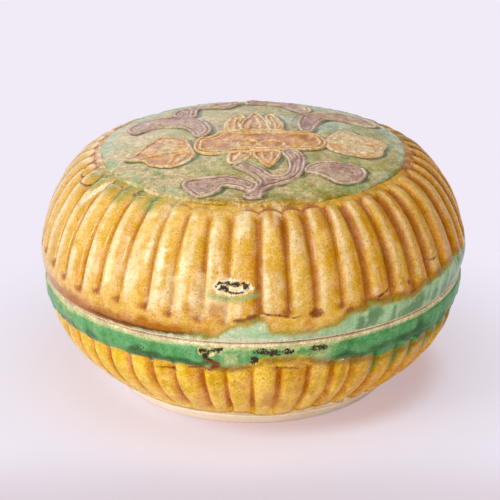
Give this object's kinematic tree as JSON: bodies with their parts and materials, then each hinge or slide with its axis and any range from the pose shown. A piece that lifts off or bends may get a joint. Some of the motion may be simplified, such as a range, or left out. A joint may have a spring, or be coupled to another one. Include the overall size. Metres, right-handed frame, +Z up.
{
  "type": "lidded pottery box",
  "caption": "Round glazed pottery box with fluted sides and a domed lift-off lid that carries a lotus-scroll medallion in low relief.",
  "frame": {"origin": "middle of the base, on the surface that the box stands on", "axes": "+Z up through the lid, front of the box towards -Y, +X to the viewer's right"},
  "size_m": [0.1498, 0.1498, 0.0882],
  "materials": {
    "bare_clay": "bare buff-white fired clay",
    "amber_glaze": "amber lead glaze with green glaze on the bands",
    "sage_glaze": "thin sage-green lead glaze",
    "flower_glaze": "amber lead glaze",
    "leaf_glaze": "thin aubergine lead glaze"
  },
  "bodies": {
    "box": {"foot_ring": "bare_clay", "box_bowl": "amber_glaze", "seating_collar": "bare_clay"},
    "lid": {"lid_dome": "amber_glaze", "medallion": "sage_glaze", "flower_heart": "flower_glaze", "petal_back_left": "flower_glaze", "petal_back_middle": "flower_glaze", "petal_back_right": "flower_glaze", "petals_left": "flower_glaze", "petals_right": "flower_glaze", "petal_front_left": "flower_glaze", "petal_front_right": "flower_glaze", "stem_front": "leaf_glaze", "leaf_front_left": "leaf_glaze", "leaf_front_right": "leaf_glaze", "leaf_back_left": "leaf_glaze", "leaf_back_right": "leaf_glaze", "stem_back_left": "leaf_glaze", "stem_back_right": "leaf_glaze"}
  },
  "joints": [
    {"name": "lid_lift", "type": "slide", "parent": "box", "child": "lid", "axis": [0, 0, 1], "range_m": [0, 0.06]}
  ]
}
